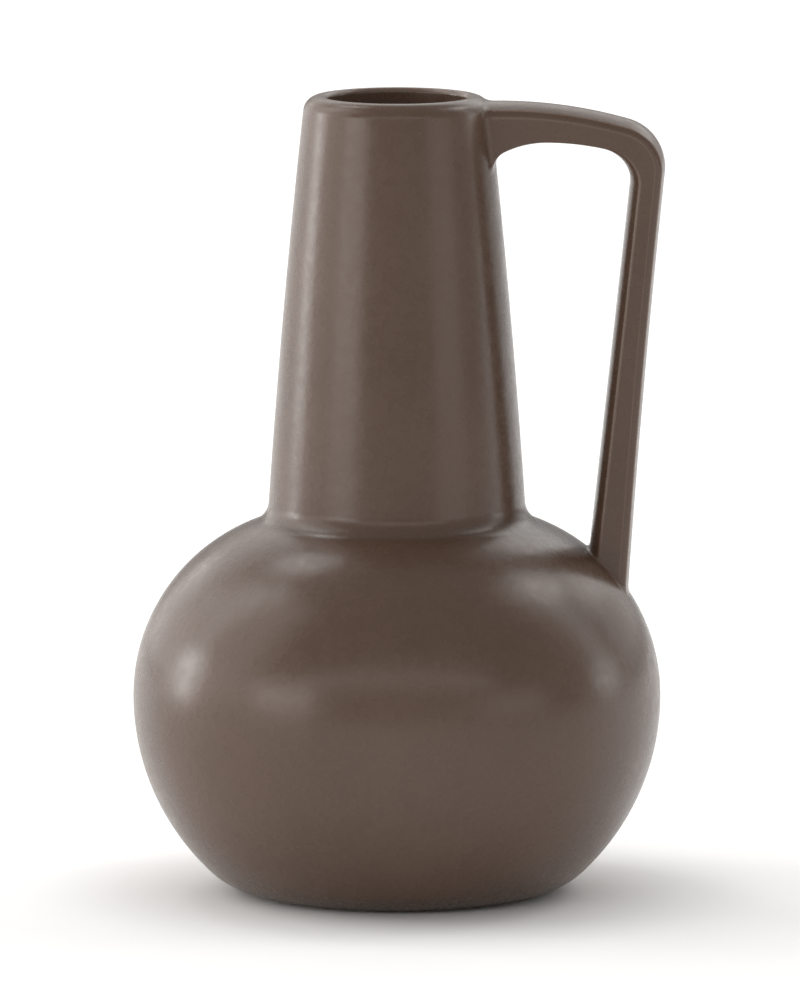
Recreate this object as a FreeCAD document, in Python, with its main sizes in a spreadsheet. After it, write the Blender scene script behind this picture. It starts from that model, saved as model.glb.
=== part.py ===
"""One-handled ceramic jug vase: a squat belly, a tall tapering neck and a strap handle.

The jug stands on Z = 0 with its axis on Z. The handle lies in the plane of X and Z, towards +X.
Lengths are in millimetres and angles in degrees.
"""
import FreeCAD
import Part
import Sketcher
import math
import os

SIZES = {
    # Outside of the pot
    "total_height": 250.0,
    "foot_radius": 41.8,
    "foot_curve": 25.0,
    "belly_radius": 82.5,
    "equator_height": 61.5,
    "shoulder_curve": 58.2,
    "shoulder_fillet": 7.7,
    "neck_base_height": 122.0,
    "neck_base_radius": 40.1,
    "neck_top_radius": 28.7,
    "neck_curve": 3000.0,
    "lip_rounding": 5.0,
    # Clay of the pot
    "wall": 5.0,
    "floor_thickness": 6.0,
    "hollow_corner": 18.0,
    # Mouth
    "lip_wall": 6.7,
    "mouth_rounding": 1.5,
    "throat_length": 6.0,
    "throat_slope": 3.0,
    # Foot ring, which laps past the flat of the foot and stands in a groove
    "ring_width": 5.8,
    "ring_lap": 4.2,
    "recess_depth": 2.0,
    "groove_depth": 1.5,
    # Stepped joints between the thrown sections; the neck's flange laps past the fillet's foot
    "neck_flange": 3.0,
    "lip_height": 12.0,
    "step_height": 2.0,
    "step_width": 2.0,
    # Handle, seen from its side
    "handle_reach": 83.6,
    "top_drop": 1.7,
    "top_curve": 170.0,
    "outer_corner": 14.8,
    "leg_thickness": 10.9,
    "leg_curve": 3500.0,
    "leg_inset": 10.2,
    "leg_foot_thickness": 13.5,
    "leg_fillet": 2.0,
    "inner_corner": 11.0,
    "bar_thickness": 12.35,
    "underside_curve": 84.0,
    "root_length": 17.8,
    "root_flare": 30.0,
    "root_corner": 6.0,
    "root_corner_gap": 4.8,
    "root_slope_angle": 60.0,
    "root_slope_length": 4.0,
    "buried_length": 10.0,
    # Handle, across its width
    "strap_width": 20.6,
    "strap_rounding": 3.4,
    # Length by which a cutting solid runs past what it cuts
    "overrun": 5.0,
}

FOLDER = "parts"

# Points of a sketch's edge, and the sketch's own origin and axes
START, END, CENTRE = range(1, 4)
X_AXIS, Y_AXIS = range(-1, -3, -1)
ORIGIN = (X_AXIS, START)

RIGHT_ANGLE = math.pi / 2
HALF_TURN = math.pi

# Places that more than one piece follows
SHOULDER_ACROSS = "(sizes.belly_radius - sizes.shoulder_curve)"
FILLET_ACROSS = "(sizes.neck_base_radius + sizes.shoulder_fillet)"
FILLET_SHARE = "(sizes.shoulder_curve / (sizes.shoulder_curve + sizes.shoulder_fillet))"
FILLET_FOOT = f"({SHOULDER_ACROSS} + ({FILLET_ACROSS} - {SHOULDER_ACROSS}) * {FILLET_SHARE})"
FLANGE_RADIUS = f"({FILLET_FOOT} + sizes.neck_flange)"
MOUTH_RADIUS = "(sizes.neck_top_radius - sizes.lip_wall)"
LIP_BASE = "(sizes.total_height - sizes.lip_height)"
BAR_TOP = "(sizes.total_height - sizes.top_drop)"
ROOT_APEX = "(sizes.neck_top_radius + sizes.root_length)"


def circle_crossing(first, first_radius, second, second_radius, side):
    """Returns the point at two distances from two centres; side 1 is left of first to second."""
    across = second[0] - first[0], second[1] - first[1]
    gap = math.hypot(*across)
    along = (gap ** 2 + first_radius ** 2 - second_radius ** 2) / (2 * gap)
    aside = side * math.sqrt(first_radius ** 2 - along ** 2)
    unit = across[0] / gap, across[1] / gap
    return (
        first[0] + along * unit[0] - aside * unit[1],
        first[1] + along * unit[1] + aside * unit[0],
    )


def level_crossing(centre, radius, height, side=1):
    """Returns the point of a circle at a height, on the right for side 1 and the left for -1."""
    return centre[0] + side * math.sqrt(radius ** 2 - (height - centre[1]) ** 2), height


def plumb_crossing(centre, radius, across):
    """Returns the upper point of a circle at a place across."""
    return across, centre[1] + math.sqrt(radius ** 2 - (across - centre[0]) ** 2)


def bearing(start, end):
    """Returns the angle of the direction from one point to another."""
    return math.atan2(end[1] - start[1], end[0] - start[0])


def on_circle(centre, radius, angle):
    """Returns the point of a circle at an angle."""
    return centre[0] + radius * math.cos(angle), centre[1] + radius * math.sin(angle)


def vector(point):
    """Returns a point of a sketch as a vector."""
    return FreeCAD.Vector(point[0], point[1], 0)


def circle(centre, radius):
    """Returns a circle in a sketch's plane."""
    return Part.Circle(vector(centre), FreeCAD.Vector(0, 0, 1), radius)


class Outline:
    """A closed chain of lines and arcs in the plane of X and Z, driven by the sheet's sizes."""

    def __init__(self, body, label):
        self.sketch = body.newObject("Sketcher::SketchObject", label)
        plane = next(item for item in body.Origin.OriginFeatures if item.Role == "XZ_Plane")
        self.sketch.AttachmentSupport = [(plane, "")]
        self.sketch.MapMode = "FlatFace"
        self.chain = []

    def value(self, expression):
        """Returns what an expression of the sheet's sizes comes to."""
        return float(self.sketch.evalExpression(expression))

    def line(self, start, end):
        """Adds a line and returns its index."""
        index = self.sketch.addGeometry(Part.LineSegment(vector(start), vector(end)))
        self.chain.append((index, START, END))
        return index

    def arc(self, centre, radius, start_angle, end_angle):
        """Adds an arc from one angle to another, either way round, and returns its index."""
        low, high = sorted((start_angle, end_angle))
        index = self.sketch.addGeometry(Part.ArcOfCircle(circle(centre, radius), low, high))
        ends = (START, END) if end_angle > start_angle else (END, START)
        self.chain.append((index, *ends))
        return index

    def guide(self, centre, radius):
        """Adds a circle that only guides other edges, and returns its index."""
        return self.sketch.addGeometry(circle(centre, radius), True)

    def marker(self, point):
        """Adds a point that only guides other edges, and returns its index."""
        return self.sketch.addGeometry(Part.Point(vector(point)), True)

    def join(self, sharp):
        """Joins neighbours end to end, smoothly except after the edges named as sharp."""
        following = self.chain[1:] + self.chain[:1]
        for (edge, _, edge_end), (follower, follower_start, _) in zip(self.chain, following):
            kind = "Coincident" if edge in sharp else "Tangent"
            self.fix(kind, edge, edge_end, follower, follower_start)

    def fix(self, kind, *where):
        """Adds a constraint that has no dimension."""
        self.sketch.addConstraint(Sketcher.Constraint(kind, *where))

    def drive(self, kind, *where, by):
        """Adds a dimension that an expression of the sheet's sizes drives."""
        value = self.value(by)
        if kind == "Angle":
            value = math.radians(value)
        index = self.sketch.addConstraint(Sketcher.Constraint(kind, *where, value))
        self.sketch.setExpression(f"Constraints[{index}]", by)

    def place(self, edge, point, across=None, up=None):
        """Drives a point's distance from the axis, its height, or both."""
        if across:
            self.drive("DistanceX", *ORIGIN, edge, point, by=across)
        if up:
            self.drive("DistanceY", *ORIGIN, edge, point, by=up)

    def pass_through(self, edge, across, up):
        """Makes an edge's curve pass through a point that the sheet places."""
        marker = self.marker((self.value(across), self.value(up)))
        self.place(marker, START, across, up)
        self.fix("PointOnObject", marker, START, edge)


class Size:
    """The sizes as plain numbers, by name."""

    def __init__(self, sizes):
        self.__dict__.update(sizes)


class Curves:
    """Centres and radii of the arcs that shape the outside of the pot's wall."""

    def __init__(self, size):
        reach = size.belly_radius - size.foot_radius
        rise = size.equator_height - size.foot_curve
        self.bowl_radius = (reach ** 2 + rise ** 2 - size.foot_curve ** 2) / (
            2 * (reach - size.foot_curve)
        )
        self.foot = (size.foot_radius, size.foot_curve)
        self.bowl = (size.belly_radius - self.bowl_radius, size.equator_height)
        self.shoulder = (size.belly_radius - size.shoulder_curve, size.equator_height)
        self.neck = circle_crossing(
            (size.neck_base_radius, size.neck_base_height), size.neck_curve,
            (size.neck_top_radius, size.total_height), size.neck_curve, side=1,
        )
        self.fillet = circle_crossing(
            self.shoulder, size.shoulder_curve + size.shoulder_fillet,
            self.neck, size.neck_curve + size.shoulder_fillet, side=-1,
        )


def make_sheet(document):
    """Writes the sizes to a sheet, a name and a number to each row."""
    sheet = document.addObject("Spreadsheet::Sheet", "sizes")
    for row, (name, value) in enumerate(SIZES.items(), start=1):
        sheet.set(f"A{row}", name)
        sheet.set(f"B{row}", str(value))
        sheet.setAlias(f"B{row}", name)
    document.recompute()


def add_wall(outline, size, curves, inset, start_angle, end_angle):
    """Adds the arcs of bowl, shoulder, fillet and neck, moved into the clay by the inset."""
    depth = outline.value(inset)
    shoulder_end = bearing(curves.shoulder, curves.fillet)
    neck_start = bearing(curves.neck, curves.fillet)
    bowl = outline.arc(curves.bowl, curves.bowl_radius - depth, start_angle, 0)
    shoulder = outline.arc(curves.shoulder, size.shoulder_curve - depth, 0, shoulder_end)
    fillet = outline.arc(
        curves.fillet, size.shoulder_fillet + depth,
        shoulder_end + HALF_TURN, neck_start + HALF_TURN,
    )
    neck = outline.arc(curves.neck, size.neck_curve - depth, neck_start, end_angle)
    return bowl, shoulder, fillet, neck


def fix_wall(outline, size, curves, wall, inset):
    """Drives the arcs of add_wall, whose centres are those of the pot's outside."""
    bowl, shoulder, fillet, neck = wall
    foot_guide = outline.guide(curves.foot, size.foot_curve)
    outline.drive("Radius", foot_guide, by="sizes.foot_curve")
    outline.place(foot_guide, CENTRE, "sizes.foot_radius", "sizes.foot_curve")
    bowl_guide = outline.guide(curves.bowl, curves.bowl_radius)
    outline.pass_through(bowl_guide, "sizes.belly_radius", "sizes.equator_height")
    outline.place(bowl_guide, CENTRE, up="sizes.equator_height")
    outline.fix("Tangent", bowl_guide, foot_guide)
    outline.fix("Coincident", bowl, CENTRE, bowl_guide, CENTRE)
    outline.place(bowl, END, across=f"sizes.belly_radius - {inset}", up="sizes.equator_height")

    outline.drive("Radius", shoulder, by=f"sizes.shoulder_curve - {inset}")
    outline.drive("Radius", fillet, by=f"sizes.shoulder_fillet + {inset}")

    neck_guide = outline.guide(curves.neck, size.neck_curve)
    outline.drive("Radius", neck_guide, by="sizes.neck_curve")
    outline.pass_through(neck_guide, "sizes.neck_base_radius", "sizes.neck_base_height")
    outline.pass_through(neck_guide, "sizes.neck_top_radius", "sizes.total_height")
    outline.drive("Radius", neck, by=f"sizes.neck_curve - {inset}")
    outline.fix("Coincident", neck, CENTRE, neck_guide, CENTRE)


def revolve(body, outline):
    """Turns a closed outline about the pot's axis."""
    turned = body.newObject("PartDesign::Revolution", body.Name + "_turned")
    turned.Profile = outline.sketch
    turned.ReferenceAxis = (outline.sketch, ["V_Axis"])
    turned.Angle = math.degrees(2 * HALF_TURN)
    body.Tip = turned


def make_outer_form(document, size, curves):
    """Makes the pot's outside as one full solid, with the recess inside the foot ring."""
    body = document.addObject("PartDesign::Body", "outer_form")
    outline = Outline(body, "outer_outline")
    ring_inner = size.foot_radius - size.ring_width
    foot_end = bearing(curves.bowl, curves.foot)
    lip = level_crossing(
        curves.neck, size.neck_curve - size.lip_rounding, size.total_height - size.lip_rounding
    )
    lip_start = bearing(curves.neck, lip)

    axis = outline.line((0, size.total_height), (0, size.recess_depth))
    ceiling = outline.line((0, size.recess_depth), (ring_inner, size.recess_depth))
    side = outline.line((ring_inner, size.recess_depth), (ring_inner, 0))
    floor = outline.line((ring_inner, 0), (size.foot_radius, 0))
    corner = outline.arc(curves.foot, size.foot_curve, -RIGHT_ANGLE, foot_end)
    wall = add_wall(outline, size, curves, "0", foot_end, lip_start)
    rounding = outline.arc(lip, size.lip_rounding, lip_start, RIGHT_ANGLE)
    top = outline.line((lip[0], size.total_height), (0, size.total_height))

    outline.join(sharp=(axis, ceiling, side, top))
    fix_wall(outline, size, curves, wall, "0")
    outline.fix("PointOnObject", axis, START, Y_AXIS)
    outline.fix("PointOnObject", axis, END, Y_AXIS)
    outline.fix("Horizontal", ceiling)
    outline.fix("Vertical", side)
    outline.fix("PointOnObject", floor, START, X_AXIS)
    outline.fix("Horizontal", floor)
    outline.fix("Horizontal", top)
    outline.place(ceiling, END, "sizes.foot_radius - sizes.ring_width", "sizes.recess_depth")
    outline.drive("Radius", corner, by="sizes.foot_curve")
    outline.drive("Radius", rounding, by="sizes.lip_rounding")
    outline.place(top, END, up="sizes.total_height")
    revolve(body, outline)
    return body


def make_hollow_form(document, size, curves):
    """Makes the hollow of the pot as one solid, which runs out past the mouth."""
    body = document.addObject("PartDesign::Body", "hollow_form")
    outline = Outline(body, "hollow_outline")
    floor_height = size.recess_depth + size.floor_thickness
    corner_centre = level_crossing(
        curves.bowl, curves.bowl_radius - size.wall - size.hollow_corner,
        floor_height + size.hollow_corner,
    )
    corner_end = bearing(curves.bowl, corner_centre)
    mouth = outline.value(MOUTH_RADIUS)
    rounding_base = size.total_height - size.mouth_rounding
    throat_base = rounding_base - size.throat_length
    slope_base = level_crossing(
        curves.neck, size.neck_curve - size.wall, throat_base - size.throat_slope
    )
    rim_inner = mouth + size.mouth_rounding
    ceiling = size.total_height + size.overrun

    axis = outline.line((0, ceiling), (0, floor_height))
    floor = outline.line((0, floor_height), (corner_centre[0], floor_height))
    corner = outline.arc(corner_centre, size.hollow_corner, -RIGHT_ANGLE, corner_end)
    neck_end = bearing(curves.neck, slope_base)
    wall = add_wall(outline, size, curves, "sizes.wall", corner_end, neck_end)
    slope = outline.line(slope_base, (mouth, throat_base))
    throat = outline.line((mouth, throat_base), (mouth, rounding_base))
    rounding = outline.arc(
        (rim_inner, rounding_base), size.mouth_rounding, HALF_TURN, RIGHT_ANGLE
    )
    way_out = outline.line((rim_inner, size.total_height), (rim_inner, ceiling))
    top = outline.line((rim_inner, ceiling), (0, ceiling))

    outline.join(sharp=(axis, wall[-1], slope, rounding, way_out, top))
    fix_wall(outline, size, curves, wall, "sizes.wall")
    outline.fix("PointOnObject", axis, START, Y_AXIS)
    outline.fix("PointOnObject", axis, END, Y_AXIS)
    outline.fix("Horizontal", floor)
    outline.fix("Vertical", throat)
    outline.fix("Vertical", way_out)
    outline.fix("Horizontal", top)
    outline.place(axis, END, up="sizes.recess_depth + sizes.floor_thickness")
    outline.drive("Radius", corner, by="sizes.hollow_corner")
    throat_foot = "sizes.total_height - sizes.mouth_rounding - sizes.throat_length"
    outline.place(slope, START, up=f"{throat_foot} - sizes.throat_slope")
    outline.place(throat, START, MOUTH_RADIUS, throat_foot)
    outline.drive("Radius", rounding, by="sizes.mouth_rounding")
    outline.place(way_out, START, f"{MOUTH_RADIUS} + sizes.mouth_rounding", "sizes.total_height")
    outline.place(top, END, up="sizes.total_height + sizes.overrun")
    revolve(body, outline)
    return body


def add_bar(outline, size):
    """Adds the handle's top, outer corner and outer leg; returns the edges and the leg's foot."""
    top_centre = (size.neck_top_radius, outline.value(BAR_TOP) - size.top_curve)
    top_start = plumb_crossing(
        top_centre, size.top_curve, size.neck_top_radius - size.buried_length
    )
    corner_centre = plumb_crossing(
        top_centre, size.top_curve - size.outer_corner, size.handle_reach - size.outer_corner
    )
    dome = (outline.value(SHOULDER_ACROSS), size.equator_height)
    leg_foot = plumb_crossing(dome, size.shoulder_curve, size.belly_radius - size.leg_inset)
    leg_centre = circle_crossing(
        corner_centre, size.outer_corner + size.leg_curve, leg_foot, size.leg_curve, side=1
    )
    leg_end = level_crossing(
        leg_centre, size.leg_curve, leg_foot[1] - size.buried_length, side=-1
    )
    corner_start = bearing(top_centre, corner_centre)
    top = outline.arc(top_centre, size.top_curve, bearing(top_centre, top_start), corner_start)
    corner = outline.arc(
        corner_centre, size.outer_corner, corner_start, bearing(corner_centre, leg_centre)
    )
    leg = outline.arc(
        leg_centre, size.leg_curve,
        bearing(leg_centre, corner_centre), bearing(leg_centre, leg_end) % (2 * HALF_TURN),
    )
    return (top, corner, leg), top_start, leg_foot, leg_end


def fix_bar(outline, bar):
    """Drives the edges of add_bar down to the leg."""
    top, corner, leg = bar
    outline.drive("Radius", top, by="sizes.top_curve")
    outline.place(top, CENTRE, "sizes.neck_top_radius", f"{BAR_TOP} - sizes.top_curve")
    outline.place(top, END, across="sizes.neck_top_radius - sizes.buried_length")
    outline.drive("Radius", corner, by="sizes.outer_corner")
    outline.place(corner, CENTRE, across="sizes.handle_reach - sizes.outer_corner")
    outline.drive("Radius", leg, by="sizes.leg_curve")


def add_underside(outline, size, leg_foot, top_start, leg_end):
    """Adds the handle's buried ends and the edges round the finger gap, from the leg's foot."""
    under = (
        outline.value(ROOT_APEX),
        outline.value(BAR_TOP) - size.bar_thickness - size.underside_curve,
    )
    corner_centre = plumb_crossing(
        under, size.underside_curve - size.inner_corner,
        size.handle_reach - size.leg_thickness - size.inner_corner,
    )
    foot = (leg_foot[0] - size.leg_foot_thickness, leg_foot[1])
    slant = math.asin(size.inner_corner / math.dist(foot, corner_centre))
    leg_angle = bearing(foot, corner_centre) - slant
    heading = (math.cos(leg_angle), math.sin(leg_angle))
    dome = (outline.value(SHOULDER_ACROSS), size.equator_height)
    beside = (foot[0] - size.leg_fillet * heading[1], foot[1] + size.leg_fillet * heading[0])
    away = (beside[0] - dome[0], beside[1] - dome[1])
    climb = away[0] * heading[0] + away[1] * heading[1]
    beyond = (size.shoulder_curve + size.leg_fillet) ** 2 - math.hypot(*away) ** 2
    rise = math.sqrt(climb ** 2 + beyond) - climb
    fillet_centre = (beside[0] + rise * heading[0], beside[1] + rise * heading[1])
    fillet_low = (fillet_centre[0], fillet_centre[1] - size.leg_fillet)
    toe = (fillet_low[0] - size.buried_length, fillet_low[1])
    flare = (under[0], under[1] + size.underside_curve - size.root_flare)
    flare_end = plumb_crossing(
        flare, size.root_flare, size.neck_top_radius + size.root_corner_gap
    )
    flare_angle = bearing(flare, flare_end)
    root_centre = on_circle(flare, size.root_flare - size.root_corner, flare_angle)
    slope_angle = math.radians(size.root_slope_angle)
    slope_start = on_circle(root_centre, size.root_corner, slope_angle + RIGHT_ANGLE)
    slope_end = (
        slope_start[0] - size.root_slope_length,
        slope_start[1] - size.root_slope_length * math.tan(slope_angle),
    )
    shelf_end = (top_start[0], slope_end[1])

    bottom = outline.line(leg_end, (toe[0], leg_end[1]))
    toe_side = outline.line((toe[0], leg_end[1]), toe)
    toe_top = outline.line(toe, fillet_low)
    leg_start = on_circle(fillet_centre, size.leg_fillet, leg_angle - RIGHT_ANGLE)
    fillet = outline.arc(fillet_centre, size.leg_fillet, -RIGHT_ANGLE, leg_angle - RIGHT_ANGLE)
    leg = outline.line(
        leg_start, on_circle(corner_centre, size.inner_corner, leg_angle - RIGHT_ANGLE)
    )
    corner = outline.arc(
        corner_centre, size.inner_corner, leg_angle - RIGHT_ANGLE, bearing(under, corner_centre)
    )
    underside = outline.arc(
        under, size.underside_curve, bearing(under, corner_centre), RIGHT_ANGLE
    )
    flare_arc = outline.arc(flare, size.root_flare, RIGHT_ANGLE, flare_angle)
    root = outline.arc(root_centre, size.root_corner, flare_angle, slope_angle + RIGHT_ANGLE)
    slope = outline.line(slope_start, slope_end)
    shelf = outline.line(slope_end, shelf_end)
    root_side = outline.line(shelf_end, top_start)
    ends = (bottom, toe_side, toe_top, slope, shelf, root_side)
    return ends, (fillet, leg, corner, underside, flare_arc, root)


def fix_underside(outline, size, bar, ends, gap, leg_foot):
    """Drives the edges of add_underside, and the feet of both sides of the leg."""
    bottom, toe_side, toe_top, slope, shelf, root_side = ends
    fillet, leg, corner, underside, flare_arc, root = gap
    dome = (outline.value(SHOULDER_ACROSS), size.equator_height)
    dome_guide = outline.guide(dome, size.shoulder_curve)
    outline.drive("Radius", dome_guide, by="sizes.shoulder_curve")
    outline.place(dome_guide, CENTRE, SHOULDER_ACROSS, "sizes.equator_height")
    outer_foot = outline.marker(leg_foot)
    outline.fix("PointOnObject", outer_foot, START, dome_guide)
    outline.place(outer_foot, START, across="sizes.belly_radius - sizes.leg_inset")
    outline.fix("PointOnObject", outer_foot, START, bar[-1])
    inner_foot = outline.marker((leg_foot[0] - size.leg_foot_thickness, leg_foot[1]))
    outline.fix("Horizontal", outer_foot, START, inner_foot, START)
    outline.drive(
        "DistanceX", inner_foot, START, outer_foot, START, by="sizes.leg_foot_thickness"
    )
    outline.fix("PointOnObject", inner_foot, START, leg)

    outline.drive(
        "DistanceY", bottom, START, outer_foot, START, by="sizes.buried_length"
    )
    outline.fix("Horizontal", bottom)
    outline.fix("Vertical", toe_side)
    outline.fix("Horizontal", toe_top)
    outline.drive("DistanceX", toe_top, START, toe_top, END, by="sizes.buried_length")

    fillet_guide = outline.guide(dome, size.shoulder_curve + size.leg_fillet)
    outline.drive("Radius", fillet_guide, by="sizes.shoulder_curve + sizes.leg_fillet")
    outline.fix("Coincident", fillet_guide, CENTRE, dome_guide, CENTRE)
    outline.fix("PointOnObject", fillet, CENTRE, fillet_guide)
    outline.drive("Radius", fillet, by="sizes.leg_fillet")
    outline.drive("Radius", corner, by="sizes.inner_corner")
    inner_reach = "sizes.handle_reach - sizes.leg_thickness - sizes.inner_corner"
    outline.place(corner, CENTRE, across=inner_reach)
    outline.drive("Radius", underside, by="sizes.underside_curve")
    outline.place(underside, END, ROOT_APEX, f"{BAR_TOP} - sizes.bar_thickness")
    outline.place(underside, CENTRE, across=ROOT_APEX)

    outline.drive("Radius", flare_arc, by="sizes.root_flare")
    outline.place(flare_arc, END, across="sizes.neck_top_radius + sizes.root_corner_gap")
    outline.drive("Radius", root, by="sizes.root_corner")
    outline.drive("Angle", slope, by="sizes.root_slope_angle - 180")
    outline.drive("DistanceX", slope, END, slope, START, by="sizes.root_slope_length")
    outline.fix("Horizontal", shelf)
    outline.fix("Vertical", root_side)


def long_edges(shape):
    """Names the edges along a strap: all but the straight ones that lie along X, Y or Z."""
    names = []
    for number, edge in enumerate(shape.Edges, start=1):
        heading = edge.tangentAt(edge.FirstParameter)
        squared = math.isclose(max(abs(heading.x), abs(heading.y), abs(heading.z)), 1)
        if not (squared and edge.Curve.TypeId == "Part::GeomLine"):
            names.append(f"Edge{number}")
    return names


def make_strap(document, size):
    """Makes the handle as a strap whose two ends run on inside the pot."""
    body = document.addObject("PartDesign::Body", "strap")
    outline = Outline(body, "strap_outline")
    bar, top_start, leg_foot, leg_end = add_bar(outline, size)
    ends, gap = add_underside(outline, size, leg_foot, top_start, leg_end)
    bottom, toe_side, _, slope, shelf, root_side = ends
    outline.join(sharp=(bar[-1], bottom, toe_side, slope, shelf, root_side))
    fix_bar(outline, bar)
    fix_underside(outline, size, bar, ends, gap, leg_foot)

    pad = body.newObject("PartDesign::Pad", "strap_pad")
    pad.Profile = outline.sketch
    pad.SideType = "Symmetric"
    pad.setExpression("Length", "sizes.strap_width")
    document.recompute()
    softened = body.newObject("PartDesign::Fillet", "strap_edges")
    softened.Base = (pad, long_edges(pad.Shape))
    softened.setExpression("Radius", "sizes.strap_rounding")
    body.Tip = softened
    return body


def cylinder(document, label, radius, bottom, top):
    """Adds a cylinder on the pot's axis between two heights."""
    solid = document.addObject("Part::Cylinder", label)
    solid.setExpression("Radius", radius)
    solid.setExpression("Placement.Base.z", bottom)
    solid.setExpression("Height", f"({top}) - ({bottom})")
    return solid


def combine(document, kind, label, base, tool):
    """Adds a boolean of two solids: kind is Cut, Common or Fuse."""
    solid = document.addObject(f"Part::{kind}", label)
    solid.Base = base
    solid.Tool = tool
    return solid


def make_foot_zone(document):
    """Makes the space of the foot ring and its groove."""
    ring_top = "sizes.recess_depth + sizes.groove_depth"
    outside = cylinder(
        document, "foot_zone_outside", "sizes.foot_radius + sizes.ring_lap",
        "-sizes.overrun", ring_top,
    )
    inside = cylinder(
        document, "foot_zone_inside", "sizes.foot_radius - sizes.ring_width",
        "-2 * sizes.overrun", f"{ring_top} + sizes.overrun",
    )
    return combine(document, "Cut", "foot_zone", outside, inside)


def make_bowl_zone(document):
    """Makes the space below the belly's joint, whose inner half stands up as a step."""
    below = cylinder(
        document, "bowl_zone_below", "sizes.belly_radius + sizes.overrun",
        "-sizes.overrun", "sizes.equator_height",
    )
    step = cylinder(
        document, "bowl_zone_step", "sizes.belly_radius - sizes.step_width",
        "-sizes.overrun", "sizes.equator_height + sizes.step_height",
    )
    return combine(document, "Fuse", "bowl_zone", below, step)


def make_neck_zone(document):
    """Makes the space above the neck's seat, whose flange rests on a step half a wall down."""
    across = f"({FLANGE_RADIUS} - {SHOULDER_ACROSS})"
    middle = "(sizes.shoulder_curve - sizes.wall / 2)"
    seat = f"sizes.equator_height + sqrt({middle} ^ 2 - {across} ^ 2)"
    above = "sizes.total_height + sizes.overrun"
    flange = cylinder(document, "neck_zone_flange", FLANGE_RADIUS, seat, above)
    plug = cylinder(
        document, "neck_zone_plug", f"{FLANGE_RADIUS} - sizes.step_width",
        f"{seat} - sizes.wall", above,
    )
    return combine(document, "Fuse", "neck_zone", flange, plug)


def make_lip_zone(document):
    """Makes the space above the lip's joint, into which the neck's inner half stands."""
    above = cylinder(
        document, "lip_zone_above", FLANGE_RADIUS,
        LIP_BASE, "sizes.total_height + sizes.overrun",
    )
    step = cylinder(
        document, "lip_zone_step", "sizes.neck_top_radius - sizes.step_width",
        f"{LIP_BASE} - sizes.overrun", f"{LIP_BASE} + sizes.step_height",
    )
    return combine(document, "Cut", "lip_zone", above, step)


def make_pieces(document, size):
    """Parts the pot's wall into its sections, and trims the handle to the pot's outside."""
    curves = Curves(size)
    outer_form = make_outer_form(document, size, curves)
    hollow_form = make_hollow_form(document, size, curves)
    pot_wall = combine(document, "Cut", "pot_wall", outer_form, hollow_form)
    foot_zone = make_foot_zone(document)
    bowl_zone = make_bowl_zone(document)
    neck_zone = make_neck_zone(document)
    lip_zone = make_lip_zone(document)

    foot_ring = combine(document, "Common", "foot_ring", pot_wall, foot_zone)
    bowl_wall = combine(document, "Common", "bowl_wall", pot_wall, bowl_zone)
    belly_bowl = combine(document, "Cut", "belly_bowl", bowl_wall, foot_zone)
    upper_wall = combine(document, "Cut", "upper_wall", pot_wall, bowl_zone)
    shoulder_dome = combine(document, "Cut", "shoulder_dome", upper_wall, neck_zone)
    neck_wall = combine(document, "Common", "neck_wall", upper_wall, neck_zone)
    neck = combine(document, "Cut", "neck", neck_wall, lip_zone)
    lip = combine(document, "Common", "lip", neck_wall, lip_zone)
    handle = combine(document, "Cut", "handle", make_strap(document, size), outer_form)
    return foot_ring, belly_bowl, shoulder_dome, neck, lip, handle


def check(document, pieces):
    """Stops the run if a feature failed or a piece is not one sound solid."""
    for item in document.Objects:
        if {"Invalid", "Error"} & set(item.State):
            raise RuntimeError(f"{item.Label} failed: {item.State}")
    for piece in pieces:
        shape = piece.Shape
        if shape.isNull() or not shape.isValid() or len(shape.Solids) != 1:
            raise RuntimeError(f"{piece.Label} is not one valid solid")


def main():
    """Builds the jug and writes a file for each piece."""
    document = FreeCAD.newDocument("jug_vase")
    make_sheet(document)
    pieces = make_pieces(document, Size(SIZES))
    document.recompute()
    check(document, pieces)
    os.makedirs(FOLDER, exist_ok=True)
    for piece in pieces:
        piece.Shape.exportStep(f"{FOLDER}/{piece.Label}.step")
        box = piece.Shape.BoundBox
        print(
            f"{piece.Label}: {piece.Shape.Volume:.1f} cubic mm, "
            f"{box.XLength:.2f} x {box.YLength:.2f} x {box.ZLength:.2f} mm"
        )


main()
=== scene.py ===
"""A one-handled ceramic jug vase in satin taupe brown glaze, on a pale studio floor.

Shapes are worked out in millimetres in the frame's axes and turned into metres in the meshes.
"""
import math
import bpy
import numpy as np
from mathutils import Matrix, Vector, noise


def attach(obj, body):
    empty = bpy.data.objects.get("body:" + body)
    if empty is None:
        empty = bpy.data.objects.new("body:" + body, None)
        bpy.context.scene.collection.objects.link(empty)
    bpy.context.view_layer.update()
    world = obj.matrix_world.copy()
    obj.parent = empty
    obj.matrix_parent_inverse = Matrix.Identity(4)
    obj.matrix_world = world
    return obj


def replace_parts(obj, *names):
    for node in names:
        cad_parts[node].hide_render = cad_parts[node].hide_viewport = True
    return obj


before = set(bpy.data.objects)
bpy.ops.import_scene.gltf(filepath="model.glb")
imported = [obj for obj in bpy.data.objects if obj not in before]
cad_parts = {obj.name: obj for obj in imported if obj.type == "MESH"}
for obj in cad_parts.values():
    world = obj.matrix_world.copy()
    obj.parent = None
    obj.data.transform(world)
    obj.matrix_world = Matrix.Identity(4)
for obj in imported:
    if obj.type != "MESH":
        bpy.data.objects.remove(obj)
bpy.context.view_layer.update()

MM = 0.001
TURN = 2 * math.pi
TINY = 1e-6

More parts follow.
